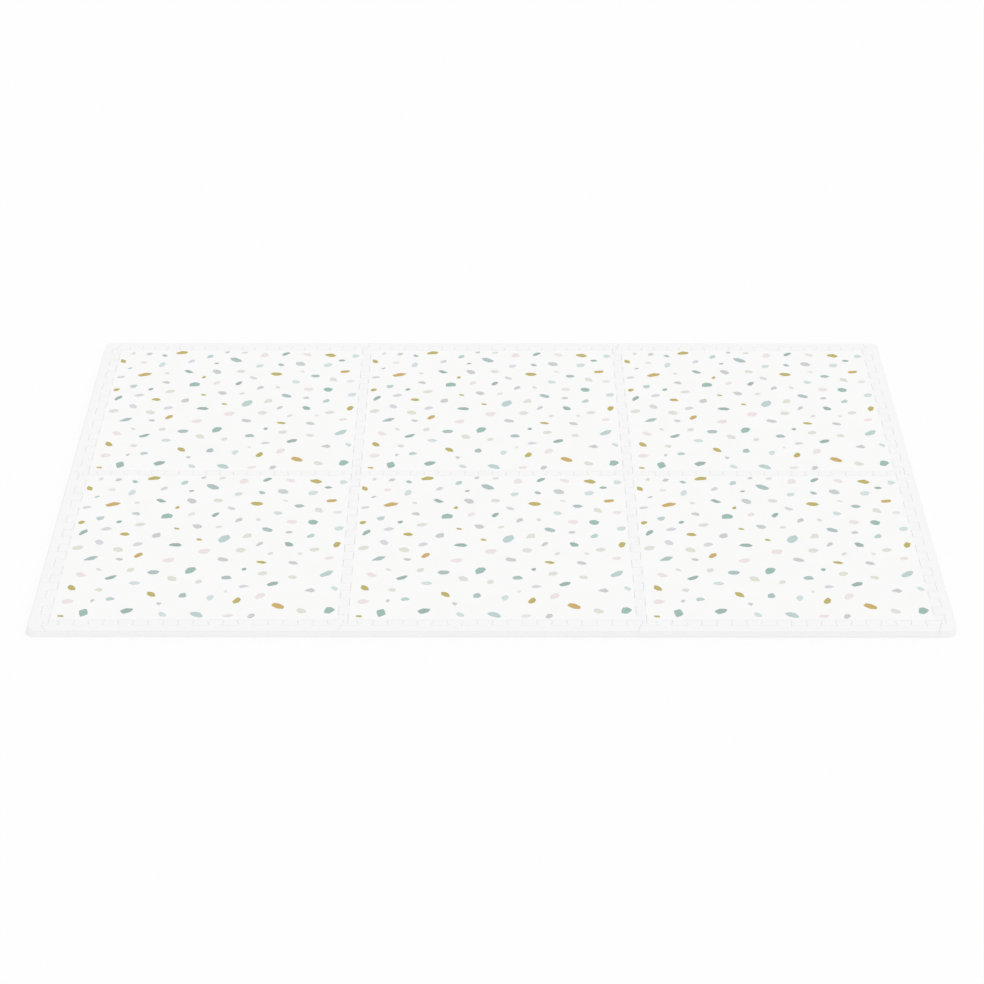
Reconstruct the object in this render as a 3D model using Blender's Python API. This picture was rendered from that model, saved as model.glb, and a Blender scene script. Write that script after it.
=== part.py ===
"""Modular play mat: square foam tiles locked together by dovetail teeth, with edge strips round them.

Metres, +Z up. The origin is on the floor under the middle of the mat, and +X runs along its long side.
"""

import math

import bmesh
import bpy
from mathutils import Matrix, Vector

# Driving dimensions, in metres
TILE = 0.600  # from one seam's centre line to the next
COLUMNS = 3
ROWS = 2
THICKNESS = 0.016
TEETH = 10  # along each side of a tile
TOOTH_DEPTH = 0.020  # from the root of a tooth to its head
UNDERCUT = 0.003  # how far a flank leans out over half the tooth depth
TOOTH_RADIUS = 0.004
END_RADIUS = 0.0015  # at a side's two ends, where three or four pieces meet
STRIP_REACH = 0.030  # from the outer seam's centre line to the straight edge
CORNER_RADIUS = 0.020
EDGE_ROUNDING = 0.0025  # of the straight edges' upper corner
GAP = 0.0003  # between neighbouring pieces

# Sizes that follow from those
HALF_DEPTH = TOOTH_DEPTH / 2
TOOTH_PITCH = TILE / TEETH
JOINT_LEAN = UNDERCUT * STRIP_REACH / HALF_DEPTH  # a strip's joint carries on the line of a flank
ARC_STEPS = 2  # facets to a tooth's rounded corner
CORNER_STEPS = 6
EDGE_STEPS = 2
TOUCHING = 0.00001  # how close a point lies to a plane that holds it

# Finish of the foam
FOAM_COLOUR = (0.93, 0.93, 0.925, 1.0)
STRIP_COLOUR = (0.91, 0.91, 0.905, 1.0)
FOAM_ROUGHNESS = 0.7

# Each side of a tile is written along its own axes: s runs anticlockwise along the side, and h points
# away from the tile. An outline's corner is (s, h, radius, steps), or (x, y, radius, steps) once placed.


def clear_scene():
    for thing in list(bpy.data.objects):
        bpy.data.objects.remove(thing)


def foam_material(name, colour):
    material = bpy.data.materials.new(name)
    material.use_nodes = True
    shader = material.node_tree.nodes["Principled BSDF"]
    shader.inputs["Base Color"].default_value = colour
    shader.inputs["Roughness"].default_value = FOAM_ROUGHNESS
    shader.inputs["Metallic"].default_value = 0.0
    return material


def toothed_side():
    """The corners of one side of a tile: a tooth comes first and a socket last."""
    corners = []
    for tooth in range(TEETH):
        start = tooth * TOOTH_PITCH
        middle = start + TOOTH_PITCH / 2
        end = start + TOOTH_PITCH
        first_radius = END_RADIUS if tooth == 0 else TOOTH_RADIUS
        last_radius = END_RADIUS if tooth == TEETH - 1 else TOOTH_RADIUS
        corners.append((start - UNDERCUT, HALF_DEPTH, first_radius, ARC_STEPS))
        corners.append((middle + UNDERCUT, HALF_DEPTH, TOOTH_RADIUS, ARC_STEPS))
        corners.append((middle - UNDERCUT, -HALF_DEPTH, TOOTH_RADIUS, ARC_STEPS))
        corners.append((end + UNDERCUT, -HALF_DEPTH, last_radius, ARC_STEPS))
    return corners


def place_side(corners, origin, quarter_turns):
    """Turns corners from a side's axes to the mat's. The front side has no quarter turn."""
    angle = quarter_turns * math.pi / 2
    along = Vector((math.cos(angle), math.sin(angle)))
    away = Vector((math.sin(angle), -math.cos(angle)))
    placed = []
    for s, h, radius, steps in corners:
        point = Vector(origin) + along * s + away * h
        placed.append((point.x, point.y, radius, steps))
    return placed


def tile_corners(left, front):
    """A tile's corners, anticlockwise. Its plain square starts at (left, front)."""
    starts = [
        (left, front),
        (left + TILE, front),
        (left + TILE, front + TILE),
        (left, front + TILE),
    ]
    corners = []
    for quarter_turns, start in enumerate(starts):
        side = [(0.0, 0.0, 0.0, 0)] + toothed_side()
        corners += place_side(side, start, quarter_turns)
    return corners


def strip_start(kind):
    """The end of a strip at its tile side's first corner, from the teeth out to the straight edge."""
    sharp = (-UNDERCUT, HALF_DEPTH, 0.0, 0)
    if kind == "corner":
        return [
            (-UNDERCUT, HALF_DEPTH, END_RADIUS, ARC_STEPS),
            (0.0, 0.0, 0.0, 0),
            (-STRIP_REACH, -JOINT_LEAN, 0.0, 0),
            (-STRIP_REACH, STRIP_REACH, CORNER_RADIUS, CORNER_STEPS),
        ]
    if kind == "meets_corner":
        return [sharp, (JOINT_LEAN, STRIP_REACH, 0.0, 0)]
    return [sharp, (-JOINT_LEAN, STRIP_REACH, 0.0, 0)]


def strip_end(kind):
    """The end of a strip at its tile side's last corner, from the straight edge in to the teeth."""
    if kind == "corner":
        return [
            (TILE + STRIP_REACH, STRIP_REACH, CORNER_RADIUS, CORNER_STEPS),
            (TILE + STRIP_REACH, -JOINT_LEAN, 0.0, 0),
            (TILE + HALF_DEPTH, UNDERCUT, 0.0, 0),
            (TILE, 0.0, 0.0, 0),
        ]
    return [(TILE - JOINT_LEAN, STRIP_REACH, 0.0, 0)]


def strip_corners(origin, quarter_turns, start_kind, end_kind):
    teeth = toothed_side()[:0:-1]
    corners = strip_end(end_kind) + teeth + strip_start(start_kind)
    return place_side(corners, origin, quarter_turns)


def rounded(corners):
    """The outline's points, with each corner that has a radius turned into an arc."""
    points = []
    for index, (x, y, radius, steps) in enumerate(corners):
        corner = Vector((x, y))
        if not radius:
            points.append(corner)
            continue
        before = Vector(corners[index - 1][:2]) - corner
        after = Vector(corners[(index + 1) % len(corners)][:2]) - corner
        before.normalize()
        after.normalize()
        half = before.angle(after) / 2
        middle = corner + (before + after).normalized() * radius / math.sin(half)
        first = corner + before * radius / math.tan(half) - middle
        last = corner + after * radius / math.tan(half) - middle
        turn = first.angle_signed(last)
        for step in range(steps + 1):
            points.append(middle + Matrix.Rotation(-turn * step / steps, 2) @ first)
    return points


def drawn_in(points, distance):
    """The same outline with every edge moved inwards, which leaves the gap between neighbours."""
    moved = []
    for index, point in enumerate(points):
        back = (point - points[index - 1]).normalized()
        ahead = (points[(index + 1) % len(points)] - point).normalized()
        inward_back = Vector((-back.y, back.x))
        inward_ahead = Vector((-ahead.y, ahead.x))
        mitre = (inward_back + inward_ahead).normalized()
        moved.append(point + mitre * distance / mitre.dot(inward_ahead))
    return moved


def on_outer_wall(edge):
    """True for an upper edge that lies on the mat's outer wall, its rounded corners among them."""
    half_length = COLUMNS * TILE / 2 + STRIP_REACH - GAP / 2
    half_width = ROWS * TILE / 2 + STRIP_REACH - GAP / 2
    for vert in edge.verts:
        if vert.co.z < THICKNESS - TOUCHING:
            return False
        over_x = abs(vert.co.x) - half_length + CORNER_RADIUS
        over_y = abs(vert.co.y) - half_width + CORNER_RADIUS
        if over_x > 0 and over_y > 0:
            inside = CORNER_RADIUS - math.hypot(over_x, over_y)
        else:
            inside = CORNER_RADIUS - max(over_x, over_y)
        if inside > GAP:
            return False
    return True


def round_outer_edges(shape):
    """Rounds the upper corner of the straight edges, where a strip meets the open floor."""
    edges = [edge for edge in shape.edges if on_outer_wall(edge)]
    if edges:
        bmesh.ops.bevel(
            shape,
            geom=edges,
            offset=EDGE_ROUNDING,
            offset_type="OFFSET",
            segments=EDGE_STEPS,
            profile=0.5,
            affect="EDGES",
        )


def foam_piece(name, corners, material):
    """A flat solid of the foam's thickness, standing on the floor."""
    shape = bmesh.new()
    floor_points = [shape.verts.new((p.x, p.y, 0.0)) for p in drawn_in(rounded(corners), GAP / 2)]
    underside = shape.faces.new(floor_points)
    raised = bmesh.ops.extrude_face_region(shape, geom=[underside])["geom"]
    top_points = [item for item in raised if isinstance(item, bmesh.types.BMVert)]
    bmesh.ops.translate(shape, verts=top_points, vec=(0.0, 0.0, THICKNESS))
    bmesh.ops.recalc_face_normals(shape, faces=shape.faces)
    round_outer_edges(shape)
    mesh = bpy.data.meshes.new(name)
    shape.to_mesh(mesh)
    shape.free()
    mesh.materials.append(material)
    piece = bpy.data.objects.new(name, mesh)
    bpy.context.collection.objects.link(piece)
    return piece


def build_tiles(left, front):
    material = foam_material("tile_foam", FOAM_COLOUR)
    for row, depth_name in enumerate(("front", "back")):
        for column, side_name in enumerate(("left", "middle", "right")):
            corners = tile_corners(left + column * TILE, front + row * TILE)
            foam_piece(f"tile_{depth_name}_{side_name}", corners, material)


def build_strips(left, front):
    """The strips, anticlockwise from the front left. The side strips fill the mat's four corners."""
    right = left + COLUMNS * TILE
    back = front + ROWS * TILE
    material = foam_material("strip_foam", STRIP_COLOUR)
    strips = [
        ("front_left", (left, front), 0, "meets_corner", "plain"),
        ("front_middle", (left + TILE, front), 0, "plain", "plain"),
        ("front_right", (left + 2 * TILE, front), 0, "plain", "plain"),
        ("right_front", (right, front), 1, "corner", "plain"),
        ("right_back", (right, front + TILE), 1, "plain", "corner"),
        ("back_right", (right, back), 2, "meets_corner", "plain"),
        ("back_middle", (right - TILE, back), 2, "plain", "plain"),
        ("back_left", (right - 2 * TILE, back), 2, "plain", "plain"),
        ("left_back", (left, back), 3, "corner", "plain"),
        ("left_front", (left, back - TILE), 3, "plain", "corner"),
    ]
    for name, origin, quarter_turns, start_kind, end_kind in strips:
        corners = strip_corners(origin, quarter_turns, start_kind, end_kind)
        foam_piece(f"strip_{name}", corners, material)


def main():
    clear_scene()
    left = -COLUMNS * TILE / 2
    front = -ROWS * TILE / 2
    build_tiles(left, front)
    build_strips(left, front)


main()
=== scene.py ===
"""The finished look of the modular play mat: foam tiles with a stone-chip print, and plain edge strips.

Metres, +Z up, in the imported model's own frame.
"""

import math
import random

import bmesh
import bpy
from mathutils import Euler, Matrix, Vector
from mathutils.geometry import delaunay_2d_cdt


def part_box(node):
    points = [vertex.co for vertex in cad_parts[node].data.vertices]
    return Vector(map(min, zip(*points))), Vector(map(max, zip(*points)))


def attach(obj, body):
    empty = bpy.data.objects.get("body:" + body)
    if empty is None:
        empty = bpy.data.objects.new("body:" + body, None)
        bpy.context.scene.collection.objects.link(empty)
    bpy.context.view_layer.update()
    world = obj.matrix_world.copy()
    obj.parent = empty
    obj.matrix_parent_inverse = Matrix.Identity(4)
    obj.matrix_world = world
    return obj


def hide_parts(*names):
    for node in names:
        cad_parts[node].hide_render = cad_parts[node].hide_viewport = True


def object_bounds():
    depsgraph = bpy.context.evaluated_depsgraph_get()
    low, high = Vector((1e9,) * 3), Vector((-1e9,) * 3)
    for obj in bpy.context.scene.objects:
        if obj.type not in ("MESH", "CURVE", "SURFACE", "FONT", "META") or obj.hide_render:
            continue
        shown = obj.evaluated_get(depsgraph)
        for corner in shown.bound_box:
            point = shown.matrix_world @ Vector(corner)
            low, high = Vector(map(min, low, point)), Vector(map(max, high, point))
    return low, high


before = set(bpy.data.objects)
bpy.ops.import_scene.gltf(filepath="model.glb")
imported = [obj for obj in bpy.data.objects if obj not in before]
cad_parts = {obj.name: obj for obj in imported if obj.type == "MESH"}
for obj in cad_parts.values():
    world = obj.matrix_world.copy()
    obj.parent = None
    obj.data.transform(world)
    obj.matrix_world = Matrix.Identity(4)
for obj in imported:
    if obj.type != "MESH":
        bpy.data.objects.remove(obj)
CAD_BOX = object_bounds()

# Sizes read from the frame
ROW_NAMES = ("front", "back")
COLUMN_NAMES = ("left", "middle", "right")
FIRST_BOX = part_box("tile_front_left")
NEXT_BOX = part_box("tile_front_middle")
TILE = NEXT_BOX[0][0] - FIRST_BOX[0][0]
THICKNESS = FIRST_BOX[1][2]
GAP = 0.0003  # between neighbouring pieces
TOOTH_DEPTH = FIRST_BOX[1][0] - FIRST_BOX[0][0] - TILE + GAP
HALF_DEPTH = TOOTH_DEPTH / 2
LEFT = -len(COLUMN_NAMES) * TILE / 2
FRONT = -len(ROW_NAMES) * TILE / 2
STRIP_REACH = LEFT - CAD_BOX[0][0] + GAP / 2

# Shape of the teeth, as the solids have them
TEETH = 10
TOOTH_PITCH = TILE / TEETH
UNDERCUT = 0.003
TOOTH_RADIUS = 0.004
END_RADIUS = 0.0015
CORNER_RADIUS = 0.020
JOINT_LEAN = UNDERCUT * STRIP_REACH / HALF_DEPTH

# Fine shape of the foam's edges
ARC_STEPS = 5
CORNER_STEPS = 12
SEAM_GAP = 0.0001  # soft foam closes up where two pieces meet
SEAM_ROUNDING = 0.0014
EDGE_ROUNDING = 0.0025
ROUNDING_STEPS = 4
JOINT_STATION = 0.004  # an extra point on a strip's joint, clear of the rounded straight edge
SHARP_ANGLE = 40.0  # faces that meet more steeply than this keep a crisp edge
STRAIGHT = 0.001  # an outline that turns by less than this runs straight on
SAME_POINT = 1e-7  # points nearer than this are one
INSIDE_ONLY = 1  # an outline is filled, and not the hollows around it

# The printed chips
PRINT_SEED = 114
GROUND_MARGIN = 0.0125  # from the seam's centre line to the printed square, clear of the teeth
PRINT_MARGIN = 0.0135  # from the seam's centre line to the nearest chip's edge
PLACES_TRIED = 90  # for each chip, of which the freest is taken
SAME_INK_SPREAD = 0.55  # what a gap to a chip of the same ink counts for, so that the gap grows wider
CHIP_CORNERS = (4, 5, 5, 6, 6)
CHIP_UNEVENNESS = 0.24  # how far a corner strays round its oval, as a share of the step between corners
CHIP_REACH = (0.90, 1.14)  # how far a corner strays in or out, as a share of the oval's radius
CHIP_TURN = (-1.0, 1.3)  # from the mat's long side
CHIP_WEAR = (0.14, 0.25)  # how far each corner is cut back, as a share of its edges

# Rows: ink, how many on a tile, least and greatest length, least and greatest width as a share of length
PRINT_ROWS = [
    ("tan", 1, 0.038, 0.040, 0.44, 0.48),
    ("tan", 1, 0.020, 0.021, 1.60, 1.70),
    ("ochre", 1, 0.019, 0.020, 1.55, 1.65),
    ("deep_teal", 1, 0.036, 0.038, 0.62, 0.68),
    ("pale_teal", 3, 0.035, 0.039, 0.48, 0.58),
    ("blue_grey", 2, 0.034, 0.037, 0.44, 0.52),
    ("deep_teal", 4, 0.026, 0.031, 0.62, 0.84),
    ("ochre", 9, 0.025, 0.031, 0.46, 0.64),
    ("tan", 2, 0.025, 0.031, 0.46, 0.62),
    ("slate", 9, 0.022, 0.031, 0.46, 0.70),
    ("blue_grey", 5, 0.022, 0.030, 0.50, 0.74),
    ("pewter", 12, 0.020, 0.029, 0.52, 0.78),
    ("pale_teal", 4, 0.020, 0.028, 0.56, 0.76),
    ("mint", 10, 0.020, 0.028, 0.58, 0.84),
    ("blush", 12, 0.021, 0.029, 0.56, 0.84),
    ("stone", 15, 0.020, 0.028, 0.56, 0.84),
    ("lilac", 7, 0.019, 0.027, 0.46, 0.68),
    ("ochre", 5, 0.015, 0.019, 0.54, 0.78),
    ("slate", 4, 0.013, 0.018, 0.54, 0.82),
    ("blue_grey", 3, 0.014, 0.018, 0.54, 0.82),
    ("pewter", 5, 0.013, 0.018, 0.54, 0.82),
    ("stone", 7, 0.013, 0.018, 0.56, 0.86),
    ("blush", 4, 0.014, 0.018, 0.56, 0.86),
]

# Colours
BARE_SKIN = (0.888, 0.888, 0.888)
# The cut sides' own white, made lighter than the skin's: painted light that lifts the shade on the upright
# walls
CUT_SIDE_PAINTED_LIGHT = (0.928, 0.928, 0.926)
UNDERSIDE = (0.86, 0.86, 0.85)
PRINT_GROUND = (0.906, 0.910, 0.902)
INKS = {
    "tan": (0.570, 0.400, 0.146),
    "ochre": (0.498, 0.417, 0.134),
    "deep_teal": (0.325, 0.479, 0.431),
    "slate": (0.324, 0.436, 0.404),
    "blue_grey": (0.402, 0.506, 0.498),
    "pewter": (0.561, 0.595, 0.589),
    "pale_teal": (0.482, 0.610, 0.595),
    "mint": (0.614, 0.707, 0.696),
    "blush": (0.806, 0.741, 0.725),
    "stone": (0.718, 0.714, 0.650),
    "lilac": (0.651, 0.649, 0.687),
}
FLOOR_COLOUR = (0.945, 0.945, 0.945)

# Surface of the foam
SKIN_GRAIN = (620.0, 0.35, 0.00012)  # cells for each metre, strength of the bump and its depth
SKIN_DRIFT = (0.006, 14.0)  # how much the colour varies, and at what scale
SKIN_ROUGHNESS = (0.62, 0.78)  # in the cells and between them
SKIN_GLOSS = 0.35
INK_DRIFT = (0.022, 170.0)
INK_ROUGHNESS = (0.56, 0.72)
CUT_GRAIN = (1500.0, 0.6, 0.00025)
CUT_DRIFT = (0.014, 260.0)
CUT_ROUGHNESS = (0.82, 0.95)
CUT_GLOSS = 0.2
GRIP_DRIFT = (0.012, 30.0)
GRIP_ROUGHNESS = 0.8
GRIP_GLOSS = 0.3
GRIP_SCALE = 90.0  # ribs 3.5 mm apart
GRIP_STRENGTH = 0.8
GRIP_DEPTH = 0.0005
CELL_SHARE = 0.6  # of the cells in the grain's height, to which the noise is added
NOISE_SCALE = 0.45  # as a share of the cells' own scale

# Camera and light
PHOTO_WIDTH = 984
SENSOR_WIDTH = 36.0
CAMERA_PLACE = (-0.0091, -4.9307, 2.8596)
CAMERA_TILT = 59.607
CAMERA_ROLL = 0.099
CAMERA_YAW = -0.104
FOCAL_PIXELS = 2581.8
SKY_STRENGTH = 0.92
SUN_STRENGTH = 0.43
SUN_SPREAD = 6.0
SUN_TILT = (4.0, 21.0, 0.0)
FLOOR_SIZE = 30.0


def clean_material(name):
    """A new node material: (material, its nodes, its links, its shader)."""
    material = bpy.data.materials.new(name)
    material.use_nodes = True
    tree = material.node_tree
    return material, tree.nodes, tree.links, tree.nodes["Principled BSDF"]


def grain_bump(nodes, links, shader, cell_scale, strength, distance):
    """The fine skin of moulded foam: small cells broken up by noise, as bump."""
    place = nodes.new("ShaderNodeTexCoord")
    cells = nodes.new("ShaderNodeTexVoronoi")
    cells.feature = "SMOOTH_F1"
    cells.inputs["Scale"].default_value = cell_scale
    cells.inputs["Smoothness"].default_value = 0.6
    cells.inputs["Randomness"].default_value = 0.9
    noise = nodes.new("ShaderNodeTexNoise")
    noise.inputs["Scale"].default_value = cell_scale * NOISE_SCALE
    noise.inputs["Detail"].default_value = 3.0
    both = nodes.new("ShaderNodeMath")
    both.operation = "MULTIPLY_ADD"
    both.inputs[1].default_value = CELL_SHARE
    bump = nodes.new("ShaderNodeBump")
    bump.inputs["Strength"].default_value = strength
    bump.inputs["Distance"].default_value = distance
    links.new(place.outputs["Object"], cells.inputs["Vector"])
    links.new(place.outputs["Object"], noise.inputs["Vector"])
    links.new(cells.outputs["Distance"], both.inputs[0])
    links.new(noise.outputs["Fac"], both.inputs[2])
    links.new(both.outputs[0], bump.inputs["Height"])
    links.new(bump.outputs["Normal"], shader.inputs["Normal"])
    return place, both


def varied_colour(nodes, links, place, socket, colour, change, scale):
    """A colour that drifts a little lighter and darker across the surface."""
    noise = nodes.new("ShaderNodeTexNoise")
    noise.inputs["Scale"].default_value = scale
    noise.inputs["Detail"].default_value = 4.0
    noise.inputs["Roughness"].default_value = 0.6
    ramp = nodes.new("ShaderNodeValToRGB")
    ramp.color_ramp.elements[0].position = 0.3
    ramp.color_ramp.elements[1].position = 0.7
    ramp.color_ramp.elements[0].color = [max(c - change, 0.0) for c in colour] + [1.0]
    ramp.color_ramp.elements[1].color = [min(c + change, 1.0) for c in colour] + [1.0]
    links.new(place.outputs["Object"], noise.inputs["Vector"])
    links.new(noise.outputs["Fac"], ramp.inputs["Fac"])
    links.new(ramp.outputs["Color"], socket)


def varied_roughness(nodes, links, height, shader, low, high):
    """Roughness that follows the skin's cells."""
    spread = nodes.new("ShaderNodeMapRange")
    spread.inputs["From Min"].default_value = 0.2
    spread.inputs["From Max"].default_value = 1.1
    spread.inputs["To Min"].default_value = low
    spread.inputs["To Max"].default_value = high
    links.new(height.outputs[0], spread.inputs["Value"])
    links.new(spread.outputs["Result"], shader.inputs["Roughness"])


def grained_material(name, colour, grain, drift, roughness, gloss):
    """Foam with a fine grain, which its bump and its roughness both follow."""
    material, nodes, links, shader = clean_material(name)
    shader.inputs["Specular IOR Level"].default_value = gloss
    place, height = grain_bump(nodes, links, shader, *grain)
    varied_colour(nodes, links, place, shader.inputs["Base Color"], colour, *drift)
    varied_roughness(nodes, links, height, shader, *roughness)
    return material


def skin_material(name, colour):
    """The moulded upper skin of the foam."""
    return grained_material(name, colour, SKIN_GRAIN, SKIN_DRIFT, SKIN_ROUGHNESS, SKIN_GLOSS)


def ink_material(name, colour):
    """A printed chip: the skin's own grain under a thin, slightly mottled film of ink."""
    return grained_material(name, colour, SKIN_GRAIN, INK_DRIFT, INK_ROUGHNESS, SKIN_GLOSS)


def cut_material(name, colour):
    """The die-cut sides, where the foam's open cells show."""
    return grained_material(name, colour, CUT_GRAIN, CUT_DRIFT, CUT_ROUGHNESS, CUT_GLOSS)


def grip_material(name, colour):
    """The underside, embossed with a fine cross-ribbed grip."""
    material, nodes, links, shader = clean_material(name)
    shader.inputs["Specular IOR Level"].default_value = GRIP_GLOSS
    shader.inputs["Roughness"].default_value = GRIP_ROUGHNESS
    place = nodes.new("ShaderNodeTexCoord")
    ribs = []
    for direction in ("X", "Y"):
        wave = nodes.new("ShaderNodeTexWave")
        wave.bands_direction = direction
        wave.inputs["Scale"].default_value = GRIP_SCALE
        links.new(place.outputs["Object"], wave.inputs["Vector"])
        ribs.append(wave)
    cross = nodes.new("ShaderNodeMath")
    cross.operation = "MULTIPLY"
    links.new(ribs[0].outputs["Fac"], cross.inputs[0])
    links.new(ribs[1].outputs["Fac"], cross.inputs[1])
    bump = nodes.new("ShaderNodeBump")
    bump.inputs["Strength"].default_value = GRIP_STRENGTH
    bump.inputs["Distance"].default_value = GRIP_DEPTH
    links.new(cross.outputs[0], bump.inputs["Height"])
    links.new(bump.outputs["Normal"], shader.inputs["Normal"])
    varied_colour(nodes, links, place, shader.inputs["Base Color"], colour, *GRIP_DRIFT)
    return material


# Outlines


def toothed_side():
    """The corners of one side of a tile: a tooth comes first and a socket last.

    A side has its own axes: s runs anticlockwise along it, and h points away from the tile. A corner is
    (s, h, radius, steps), or (x, y, radius, steps) once placed.
    """
    corners = []
    for tooth in range(TEETH):
        start = tooth * TOOTH_PITCH
        middle = start + TOOTH_PITCH / 2
        end = start + TOOTH_PITCH
        first_radius = END_RADIUS if tooth == 0 else TOOTH_RADIUS
        last_radius = END_RADIUS if tooth == TEETH - 1 else TOOTH_RADIUS
        corners.append((start - UNDERCUT, HALF_DEPTH, first_radius, ARC_STEPS))
        corners.append((middle + UNDERCUT, HALF_DEPTH, TOOTH_RADIUS, ARC_STEPS))
        corners.append((middle - UNDERCUT, -HALF_DEPTH, TOOTH_RADIUS, ARC_STEPS))
        corners.append((end + UNDERCUT, -HALF_DEPTH, last_radius, ARC_STEPS))
    return corners


def place_side(corners, origin, quarter_turns):
    """Turns corners from a side's axes to the mat's. The front side has no quarter turn."""
    angle = quarter_turns * math.pi / 2
    along = Vector((math.cos(angle), math.sin(angle)))
    away = Vector((math.sin(angle), -math.cos(angle)))
    placed = []
    for s, h, radius, steps in corners:
        point = Vector(origin) + along * s + away * h
        placed.append((point.x, point.y, radius, steps))
    return placed


def tile_corners(left, front):
    """A tile's corners, anticlockwise. Its plain square starts at (left, front)."""
    starts = [
        (left, front),
        (left + TILE, front),
        (left + TILE, front + TILE),
        (left, front + TILE),
    ]
    corners = []
    for quarter_turns, start in enumerate(starts):
        side = [(0.0, 0.0, 0.0, 0)] + toothed_side()
        corners += place_side(side, start, quarter_turns)
    return corners


def between(first, last, share):
    """A plain corner on the line from one (s, h) to another."""
    s = first[0] + (last[0] - first[0]) * share
    h = first[1] + (last[1] - first[1]) * share
    return (s, h, 0.0, 0)


def strip_start(kind):
    """The end of a strip at its tile side's first corner, from the teeth out to the straight edge."""
    if kind == "corner":
        inner = (0.0, 0.0, 0.0, 0)
        outer = (-STRIP_REACH, -JOINT_LEAN, 0.0, 0)
        return [
            (-UNDERCUT, HALF_DEPTH, END_RADIUS, ARC_STEPS),
            inner,
            between(outer, inner, JOINT_STATION / STRIP_REACH),
            outer,
            (-STRIP_REACH, STRIP_REACH, CORNER_RADIUS, CORNER_STEPS),
        ]
    tooth = (-UNDERCUT, HALF_DEPTH, 0.0, 0)
    lean = JOINT_LEAN if kind == "meets_corner" else -JOINT_LEAN
    outer = (lean, STRIP_REACH, 0.0, 0)
    station = between(outer, tooth, JOINT_STATION / (STRIP_REACH - HALF_DEPTH))
    return [tooth, station, outer]


def strip_end(kind):
    """The end of a strip at its tile side's last corner, from the straight edge in to the teeth."""
    if kind == "corner":
        outer = (TILE + STRIP_REACH, -JOINT_LEAN, 0.0, 0)
        tooth = (TILE + HALF_DEPTH, UNDERCUT, 0.0, 0)
        return [
            (TILE + STRIP_REACH, STRIP_REACH, CORNER_RADIUS, CORNER_STEPS),
            outer,
            between(outer, tooth, JOINT_STATION / (STRIP_REACH - HALF_DEPTH)),
            tooth,
            (TILE, 0.0, 0.0, 0),
        ]
    outer = (TILE - JOINT_LEAN, STRIP_REACH, 0.0, 0)
    return [outer, between(outer, (TILE, 0.0), JOINT_STATION / STRIP_REACH)]


def strip_corners(origin, quarter_turns, start_kind, end_kind):
    """A strip's corners: its end, its teeth back along the tile, and its start with the first tooth."""
    teeth = toothed_side()[:0:-1]
    corners = strip_end(end_kind) + teeth + strip_start(start_kind)
    return place_side(corners, origin, quarter_turns)


def rounded(corners):
    """The outline's points, with each corner that has a radius turned into an arc."""
    points = []
    for index, (x, y, radius, steps) in enumerate(corners):
        corner = Vector((x, y))
        if not radius:
            points.append(corner)
            continue
        before = Vector(corners[index - 1][:2]) - corner
        after = Vector(corners[(index + 1) % len(corners)][:2]) - corner
        before.normalize()
        after.normalize()
        half = before.angle(after) / 2
        middle = corner + (before + after).normalized() * radius / math.sin(half)
        first = corner + before * radius / math.tan(half) - middle
        last = corner + after * radius / math.tan(half) - middle
        turn = first.angle_signed(last)
        for step in range(steps + 1):
            points.append(middle + Matrix.Rotation(-turn * step / steps, 2) @ first)
    return points


def outer_distance(point):
    """How far a point lies inside the mat's outer wall, whose corners are rounded."""
    over_x = abs(point.x) - CAD_BOX[1][0] + CORNER_RADIUS
    over_y = abs(point.y) - CAD_BOX[1][1] + CORNER_RADIUS
    if over_x > 0 and over_y > 0:
        return CORNER_RADIUS - math.hypot(over_x, over_y)
    return CORNER_RADIUS - max(over_x, over_y)


def by_edge(points, outer_value, seam_value):
    """One value for each edge of the outline: the first on the mat's outer wall, the second at a seam."""
    values = []
    for index, point in enumerate(points):
        after = points[(index + 1) % len(points)]
        outer = outer_distance((point + after) / 2) < GAP
        values.append(outer_value if outer else seam_value)
    return values


def drawn_in(points, distances):
    """The outline with each edge moved inwards by its own distance."""
    moved = []
    for index, point in enumerate(points):
        back = (point - points[index - 1]).normalized()
        ahead = (points[(index + 1) % len(points)] - point).normalized()
        back_distance = distances[index - 1]
        ahead_distance = distances[index]
        turn = back.x * ahead.y - back.y * ahead.x
        if abs(turn) < STRAIGHT:
            inward = Vector((-ahead.y, ahead.x))
            moved.append(point + inward * ahead_distance)
        else:
            moved.append(point + (ahead * back_distance - back * ahead_distance) / turn)
    return moved


# Print


def chip_outline(rng, length, slimness):
    """A flake of stone about the origin: a few uneven corners round an oval, only lightly worn."""
    count = rng.choice(CHIP_CORNERS)
    heading = rng.uniform(*CHIP_TURN)
    corners = []
    for index in range(count):
        angle = math.tau * (index + rng.uniform(-CHIP_UNEVENNESS, CHIP_UNEVENNESS)) / count
        reach = length / 2 * rng.uniform(*CHIP_REACH)
        corners.append(Vector((math.cos(angle) * reach, math.sin(angle) * reach * slimness)))
    for share in CHIP_WEAR:
        cut = []
        for index, corner in enumerate(corners):
            after = corners[(index + 1) % len(corners)]
            cut.append(corner.lerp(after, share))
            cut.append(corner.lerp(after, 1 - share))
        corners = cut
    turn = Matrix.Rotation(heading, 2)
    return [turn @ corner for corner in corners]


def roomiest_place(rng, placed, ink, length, outline):
    """The freest of several random places for the next chip, kept further away from its own ink."""
    low_x = PRINT_MARGIN + max(abs(corner.x) for corner in outline)
    low_y = PRINT_MARGIN + max(abs(corner.y) for corner in outline)
    best_place, best_room = None, -1.0
    for _ in range(PLACES_TRIED):
        place = Vector((rng.uniform(low_x, TILE - low_x), rng.uniform(low_y, TILE - low_y)))
        room = TILE
        for other, other_ink, other_length in placed:
            apart = (place - other).length - (length + other_length) / 2
            if other_ink == ink:
                apart *= SAME_INK_SPREAD
            room = min(room, apart)
        if room > best_room:
            best_place, best_room = place, room
    return best_place


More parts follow.
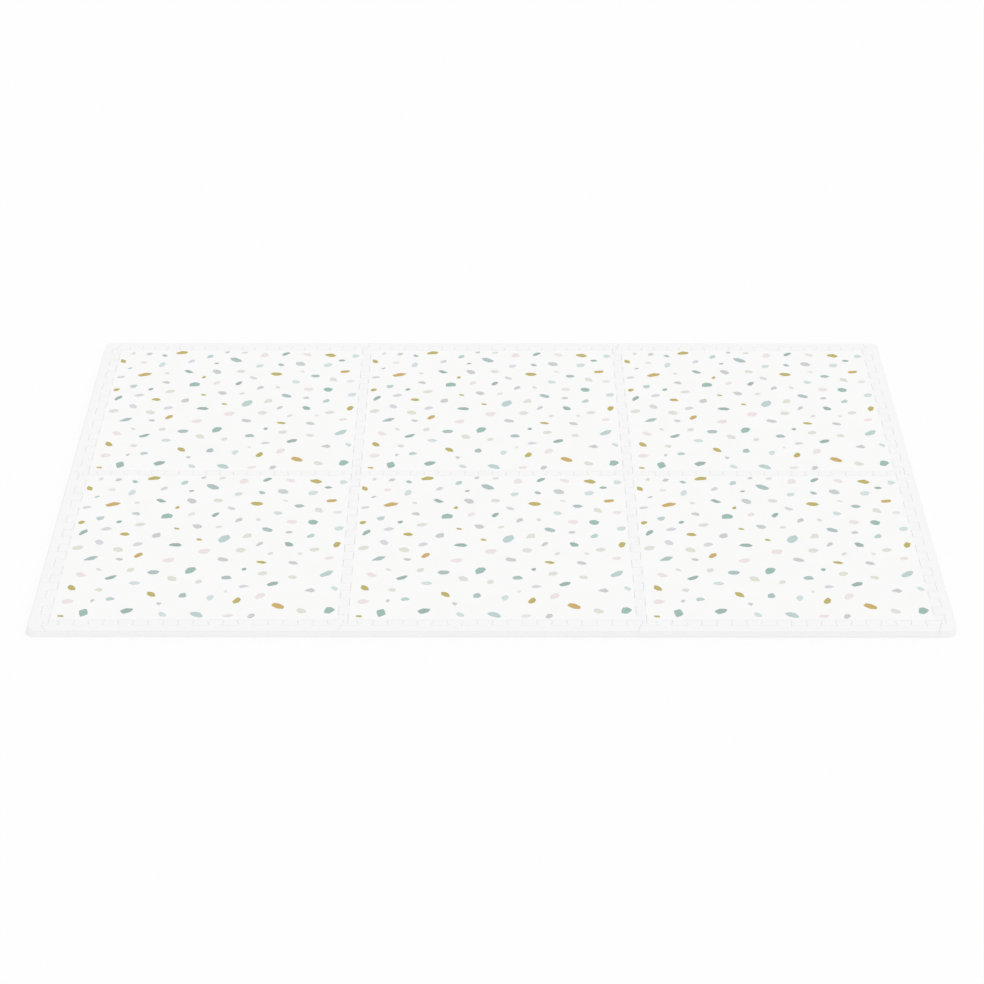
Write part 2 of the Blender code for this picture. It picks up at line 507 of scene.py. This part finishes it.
def tile_print():
    """The print of one tile as (ink, outline): a plain ground, then the chips.

    It is the same on every tile, in metres from the corner of its plain square.
    """
    low, high = GROUND_MARGIN, TILE - GROUND_MARGIN
    ground = [Vector(corner) for corner in ((low, low), (high, low), (high, high), (low, high))]
    rng = random.Random(PRINT_SEED)
    placed = []
    printed = [("ground", ground)]
    for ink, count, shortest, longest, slimmest, fullest in PRINT_ROWS:
        for _ in range(count):
            length = rng.uniform(shortest, longest)
            outline = chip_outline(rng, length, rng.uniform(slimmest, fullest))
            place = roomiest_place(rng, placed, ink, length, outline)
            placed.append((place, ink, length))
            printed.append((ink, [place + corner for corner in outline]))
    return printed


# Foam pieces


def ring(shape, points, heights):
    """New points all the way round a piece, each at its own height."""
    return [shape.verts.new((p.x, p.y, z)) for p, z in zip(points, heights)]


def join_rings(shape, lower, upper, slot):
    """A band of faces from one ring up to the next."""
    for index in range(len(lower)):
        after = (index + 1) % len(lower)
        face = shape.faces.new((lower[index], lower[after], upper[after], upper[index]))
        face.material_index = slot


def corner_values(values):
    """For each point, the larger of the values of the two edges that meet there."""
    return [max(values[index - 1], value) for index, value in enumerate(values)]


def fill_top(shape, edge_verts, printed, slots):
    """Fills the flat top, with each printed outline worked in flush. A later one covers an earlier one."""
    points = [Vector((v.co.x, v.co.y)) for v in edge_verts]
    faces = [list(range(len(points)))]
    inks = [None]
    for ink, outline in printed:
        faces.append(list(range(len(points), len(points) + len(outline))))
        points += outline
        inks.append(ink)
    filled = delaunay_2d_cdt(points, [], faces, INSIDE_ONLY, SAME_POINT)
    flat, _, triangles, sources, _, owners = filled
    height = edge_verts[0].co.z
    verts = []
    for point, came_from in zip(flat, sources):
        edge_index = next((i for i in came_from if i < len(edge_verts)), None)
        if edge_index is None:
            verts.append(shape.verts.new((point.x, point.y, height)))
        else:
            verts.append(edge_verts[edge_index])
    for triangle, owner in zip(triangles, owners):
        face = shape.faces.new([verts[i] for i in triangle])
        face.material_index = slots[inks[max(owner)]]


def foam_piece(name, corners, printed, materials):
    """One piece of foam: rounded upper edges, die-cut sides, a flat underside and a printed top."""
    slots = {None: 0, "cut": 1, "grip": 2}
    used = sorted({ink for ink, _ in printed})
    for ink in used:
        slots[ink] = len(slots)
    nominal = rounded(corners)
    outline = drawn_in(nominal, by_edge(nominal, GAP / 2, SEAM_GAP / 2))
    radii = by_edge(outline, EDGE_ROUNDING, SEAM_ROUNDING)
    drop = corner_values(radii)
    shape = bmesh.new()
    foot_ring = ring(shape, outline, [0.0] * len(outline))
    previous = foot_ring
    for step in range(ROUNDING_STEPS + 1):
        angle = math.pi / 2 * step / ROUNDING_STEPS
        points = drawn_in(outline, [radius * (1 - math.cos(angle)) for radius in radii])
        heights = [THICKNESS - radius * (1 - math.sin(angle)) for radius in drop]
        current = ring(shape, points, heights)
        join_rings(shape, previous, current, slots["cut"] if step == 0 else slots[None])
        previous = current
    fill_top(shape, previous, printed, slots)
    under = shape.faces.new(list(reversed(foot_ring)))
    under.material_index = slots["grip"]
    bmesh.ops.recalc_face_normals(shape, faces=shape.faces)
    mesh = bpy.data.meshes.new(name)
    shape.to_mesh(mesh)
    shape.free()
    for material in [materials["skin"], materials["cut"], materials["grip"]]:
        mesh.materials.append(material)
    for ink in used:
        mesh.materials.append(materials[ink])
    mesh.shade_smooth()
    mesh.set_sharp_from_angle(angle=math.radians(SHARP_ANGLE))
    piece = bpy.data.objects.new(name, mesh)
    bpy.context.collection.objects.link(piece)
    even = piece.modifiers.new("even_shading", "WEIGHTED_NORMAL")
    even.keep_sharp = True
    return piece


def dress(node, corners, printed, materials):
    """Makes the foam piece that stands for a solid of the frame."""
    piece = foam_piece(f"{node}_foam", corners, printed, materials)
    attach(piece, "root")
    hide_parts(node)


def dress_tiles(materials):
    """The six tiles, which all carry the same print."""
    printed = tile_print()
    for row, row_name in enumerate(ROW_NAMES):
        for column, column_name in enumerate(COLUMN_NAMES):
            corner = Vector((LEFT + column * TILE, FRONT + row * TILE))
            moved = [(ink, [corner + point for point in outline]) for ink, outline in printed]
            node = f"tile_{row_name}_{column_name}"
            dress(node, tile_corners(*corner), moved, materials)


def dress_strips(materials):
    """The strips, anticlockwise from the front left. The side strips fill the mat's four corners."""
    right, back = -LEFT, -FRONT
    strips = [
        ("front_left", (LEFT, FRONT), 0, "meets_corner", "plain"),
        ("front_middle", (LEFT + TILE, FRONT), 0, "plain", "plain"),
        ("front_right", (LEFT + 2 * TILE, FRONT), 0, "plain", "plain"),
        ("right_front", (right, FRONT), 1, "corner", "plain"),
        ("right_back", (right, FRONT + TILE), 1, "plain", "corner"),
        ("back_right", (right, back), 2, "meets_corner", "plain"),
        ("back_middle", (right - TILE, back), 2, "plain", "plain"),
        ("back_left", (right - 2 * TILE, back), 2, "plain", "plain"),
        ("left_back", (LEFT, back), 3, "corner", "plain"),
        ("left_front", (LEFT, back - TILE), 3, "plain", "corner"),
    ]
    for name, origin, quarter_turns, start_kind, end_kind in strips:
        corners = strip_corners(origin, quarter_turns, start_kind, end_kind)
        dress(f"strip_{name}", corners, [], materials)


def foam_materials(prefix, skin, cut, grip):
    """The three surfaces of a foam piece: moulded skin, cut sides and underside."""
    return {
        "skin": skin_material(f"{prefix}_skin", skin),
        # the cut sides' colour holds painted light: lighter than the skin, to lift the shade that falls on
        # the walls
        "cut": cut_material(f"{prefix}_cut_side_painted_light", cut),
        "grip": grip_material(f"{prefix}_underside", grip),
    }


def make_camera():
    """The view of the photo."""
    data = bpy.data.cameras.new("camera")
    data.sensor_width = SENSOR_WIDTH
    data.lens = FOCAL_PIXELS / PHOTO_WIDTH * SENSOR_WIDTH
    data.clip_end = 100.0
    camera = bpy.data.objects.new("camera", data)
    bpy.context.collection.objects.link(camera)
    turn = Euler((math.radians(CAMERA_TILT), 0.0, math.radians(CAMERA_YAW))).to_matrix()
    turn @= Matrix.Rotation(math.radians(CAMERA_ROLL), 3, "Z")
    camera.matrix_world = Matrix.Translation(CAMERA_PLACE) @ turn.to_4x4()
    bpy.context.scene.camera = camera


def make_light():
    """An even white sky and one soft, faint sun from the right."""
    world = bpy.data.worlds.new("sky")
    world.use_nodes = True
    sky = world.node_tree.nodes["Background"]
    sky.inputs["Color"].default_value = (1.0, 1.0, 1.0, 1.0)
    sky.inputs["Strength"].default_value = SKY_STRENGTH
    bpy.context.scene.world = world
    data = bpy.data.lights.new("sun", "SUN")
    data.energy = SUN_STRENGTH
    data.angle = math.radians(SUN_SPREAD)
    sun = bpy.data.objects.new("sun", data)
    sun.rotation_euler = [math.radians(angle) for angle in SUN_TILT]
    bpy.context.collection.objects.link(sun)


def make_floor():
    """The plain white ground the mat lies on, which isn't part of it."""
    material, _, _, shader = clean_material("floor")
    shader.inputs["Base Color"].default_value = (*FLOOR_COLOUR, 1.0)
    shader.inputs["Roughness"].default_value = 1.0
    shader.inputs["Specular IOR Level"].default_value = 0.0
    shape = bmesh.new()
    bmesh.ops.create_grid(shape, x_segments=1, y_segments=1, size=FLOOR_SIZE / 2)
    mesh = bpy.data.meshes.new("floor")
    shape.to_mesh(mesh)
    shape.free()
    mesh.materials.append(material)
    floor = bpy.data.objects.new("floor", mesh)
    bpy.context.collection.objects.link(floor)


def main():
    make_camera()
    make_light()
    make_floor()
    tile_materials = foam_materials("tile", BARE_SKIN, CUT_SIDE_PAINTED_LIGHT, UNDERSIDE)
    tile_materials["ground"] = skin_material("print_ground", PRINT_GROUND)
    for ink, colour in INKS.items():
        tile_materials[ink] = ink_material(f"print_{ink}", colour)
    strip_materials = foam_materials("strip", BARE_SKIN, CUT_SIDE_PAINTED_LIGHT, UNDERSIDE)
    dress_tiles(tile_materials)
    dress_strips(strip_materials)
    bpy.context.scene.view_settings.view_transform = "Standard"


main()
